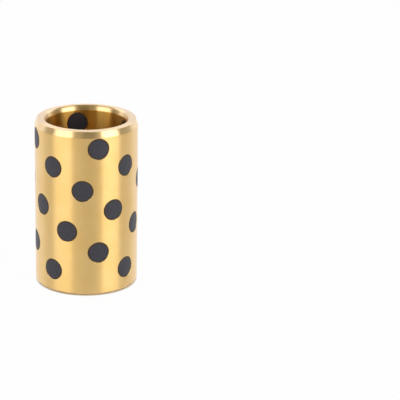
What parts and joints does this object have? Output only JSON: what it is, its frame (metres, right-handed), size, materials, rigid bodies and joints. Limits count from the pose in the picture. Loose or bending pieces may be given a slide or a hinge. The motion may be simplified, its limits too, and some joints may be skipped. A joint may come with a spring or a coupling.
{
  "type": "graphite plugged bushing",
  "caption": "Straight brass sleeve bushing with graphite plugs set through its wall in slanting rows, flush with the bore and the outside, and a lead-in cone at one end.",
  "frame": {"origin": "on the sleeve's axis, in the plane of the plain end that it stands on", "axes": "+Z along the sleeve's axis, from the plain end to the end with the lead-in cone; +X is 13.5 degrees clockwise, seen from +Z, of the first plug of the top ring"},
  "size_m": [0.036, 0.036, 0.0598],
  "materials": {
    "brass": "satin",
    "graphite": "matte"
  },
  "bodies": {
    "root": {"sleeve": "brass", "graphite_plug_1a": "graphite", "graphite_plug_1b": "graphite", "graphite_plug_1c": "graphite", "graphite_plug_1d": "graphite", "graphite_plug_2a": "graphite", "graphite_plug_2b": "graphite", "graphite_plug_2c": "graphite", "graphite_plug_2d": "graphite", "graphite_plug_3a": "graphite", "graphite_plug_3b": "graphite", "graphite_plug_3c": "graphite", "graphite_plug_3d": "graphite", "graphite_plug_4a": "graphite", "graphite_plug_4b": "graphite", "graphite_plug_4c": "graphite", "graphite_plug_4d": "graphite", "graphite_plug_5a": "graphite", "graphite_plug_5b": "graphite", "graphite_plug_5c": "graphite", "graphite_plug_5d": "graphite", "graphite_plug_6a": "graphite", "graphite_plug_6b": "graphite", "graphite_plug_6c": "graphite", "graphite_plug_6d": "graphite", "graphite_plug_7a": "graphite", "graphite_plug_7b": "graphite", "graphite_plug_7c": "graphite", "graphite_plug_7d": "graphite"}
  },
  "joints": []
}
